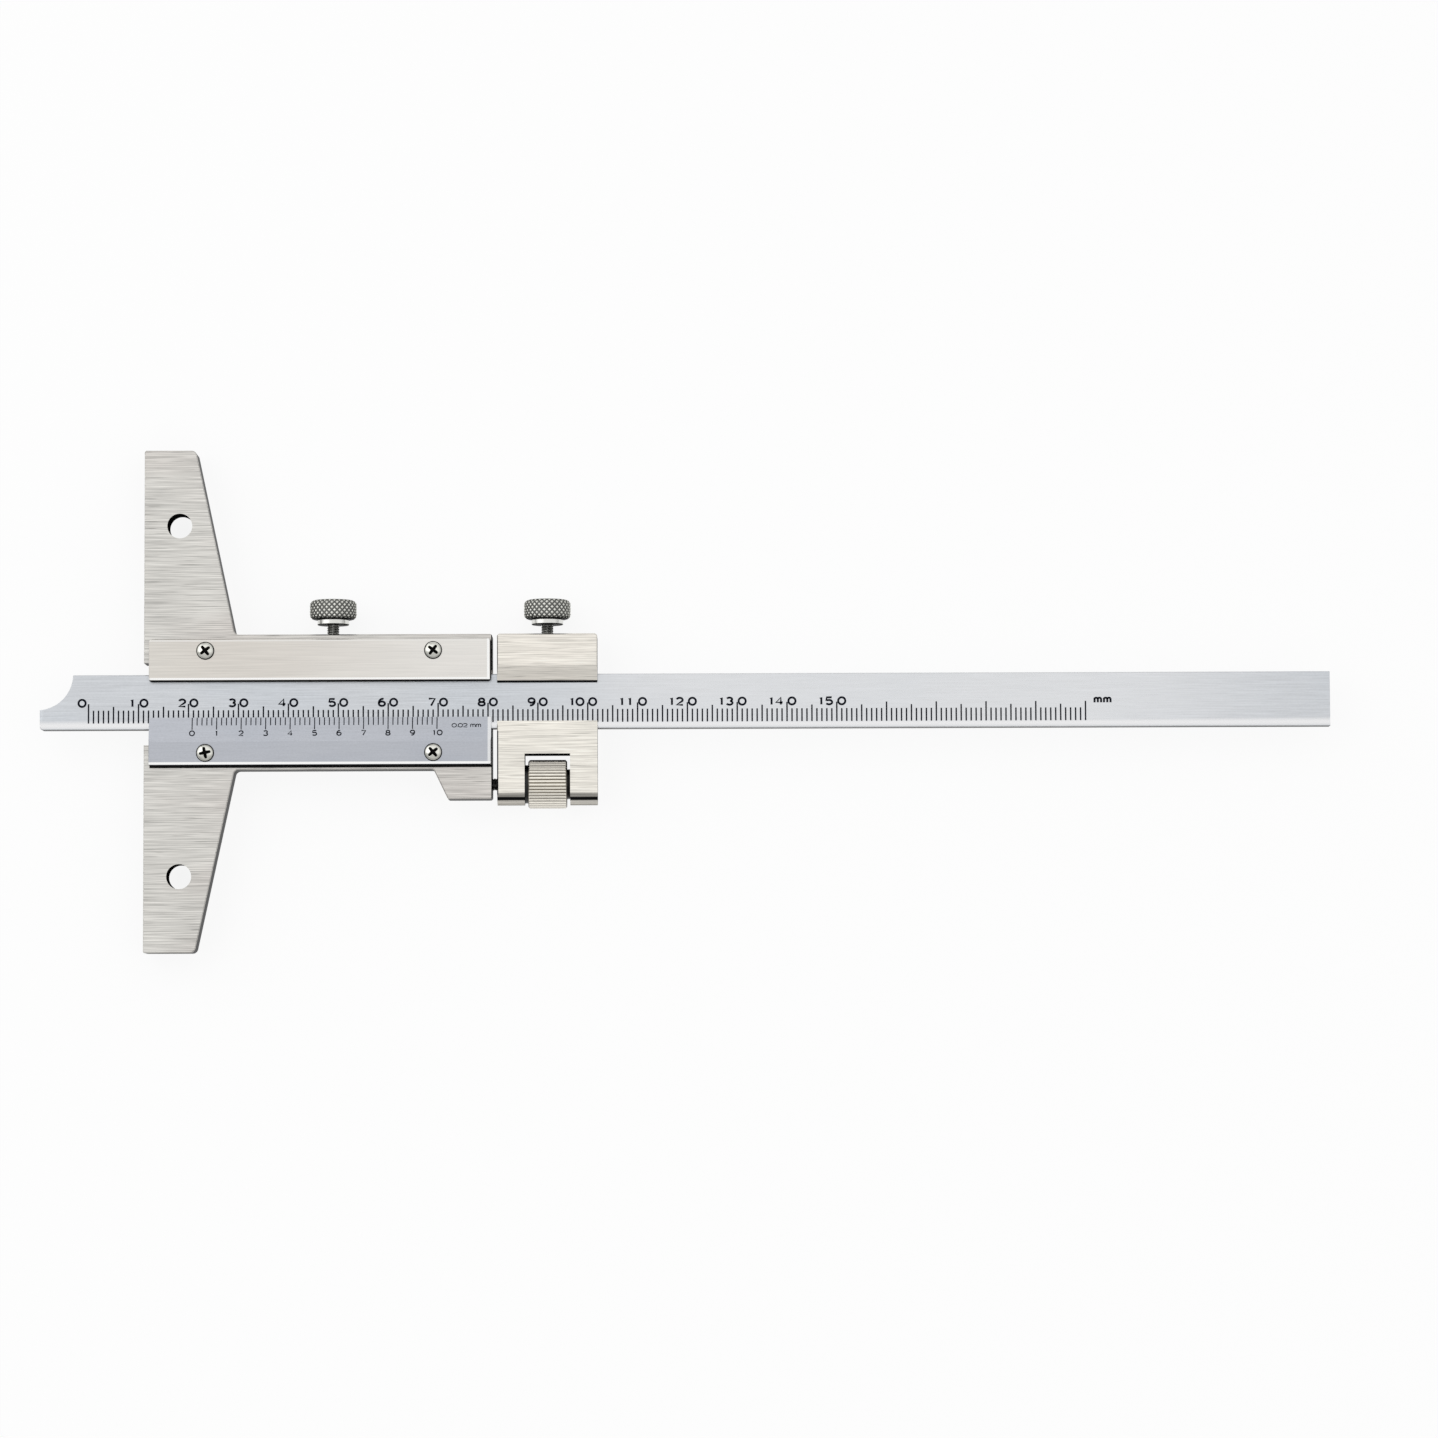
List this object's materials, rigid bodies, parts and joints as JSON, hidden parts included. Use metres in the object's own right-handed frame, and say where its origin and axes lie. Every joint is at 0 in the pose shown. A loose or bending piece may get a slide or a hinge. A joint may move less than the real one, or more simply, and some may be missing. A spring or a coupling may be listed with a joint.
{
  "type": "depth gauge",
  "caption": "Vernier depth gauge with a T-shaped base, a sliding graduated blade, clamp screws and a fine-adjustment carriage.",
  "frame": {"origin": "on the base's back face, where the plane of the measuring face crosses the blade's centre line", "axes": "+X along the blade, away from its measuring tip; +Y across the blade, towards the clamp screws; +Z out of the side that carries the scales"},
  "size_m": [0.259, 0.101, 0.0101],
  "materials": {
    "satin_chrome": "satin chrome over hardened stainless steel, dark engraved marks",
    "brushed_body": "line-ground stainless steel",
    "satin_plate": "fine satin stainless steel",
    "brushed_carriage": "line-ground stainless steel",
    "bright_screw": "polished nickel-plated steel",
    "dark_screw": "blackened steel",
    "knurled_steel": "diamond-knurled steel head with a turned collar",
    "knurled_nut": "straight-fluted steel",
    "inner_brass": "rolled phosphor bronze strip"
  },
  "bodies": {
    "slider": {"base_body": "brushed_body", "cover_plate": "satin_plate", "vernier_plate": "satin_chrome", "plate_screw_left_upper": "bright_screw", "plate_screw_right_upper": "bright_screw", "plate_screw_left_lower": "bright_screw", "plate_screw_right_lower": "bright_screw", "gib_set_screw_near": "dark_screw", "gib_set_screw_far": "dark_screw", "fine_adjust_screw": "dark_screw", "lock_pin": "dark_screw"},
    "blade": {"blade": "satin_chrome"},
    "slider_gib": {"slider_gib": "inner_brass"},
    "slider_clamp": {"slider_clamp_screw": "knurled_steel"},
    "carriage": {"carriage_body": "brushed_carriage", "nut_washer": "dark_screw"},
    "carriage_gib": {"carriage_gib": "inner_brass"},
    "carriage_clamp": {"carriage_clamp_screw": "knurled_steel"},
    "nut": {"fine_adjust_nut": "knurled_nut"}
  },
  "joints": [
    {"name": "blade_slide", "type": "slide", "parent": "slider", "child": "blade", "axis": [-1, 0, 0], "range_m": [-0.0208, 0.1292]},
    {"name": "carriage_slide", "type": "slide", "parent": "slider", "child": "carriage", "axis": [1, 0, 0], "range_m": [-0.0009, 0.005]},
    {"name": "nut_turn", "type": "hinge", "parent": "carriage", "child": "nut", "pos_m": [0.08085, -0.01655, 0.0038], "axis": [1, 0, 0], "range_deg": [-648.5, 3600.5]},
    {"name": "slider_gib_press", "type": "slide", "parent": "slider", "child": "slider_gib", "axis": [0, -1, 0], "range_m": [-0.00009, 0.00004]},
    {"name": "slider_clamp_turn", "type": "hinge", "parent": "slider_gib", "child": "slider_clamp", "pos_m": [0.0378, 0.0136, 0.0043], "axis": [0, -1, 0], "range_deg": [-72.5, 32.5]},
    {"name": "carriage_gib_press", "type": "slide", "parent": "carriage", "child": "carriage_gib", "axis": [0, -1, 0], "range_m": [-0.00009, 0.00004]},
    {"name": "carriage_clamp_turn", "type": "hinge", "parent": "carriage_gib", "child": "carriage_clamp", "pos_m": [0.08085, 0.01355, 0.0043], "axis": [0, -1, 0], "range_deg": [-72.5, 32.5]}
  ],
  "couplings": [
    {"joint": "nut_turn", "follows": "carriage_slide", "rad_per_m": 12566},
    {"joint": "slider_clamp_turn", "follows": "slider_gib_press", "rad_per_m": 13963},
    {"joint": "carriage_clamp_turn", "follows": "carriage_gib_press", "rad_per_m": 13963}
  ]
}
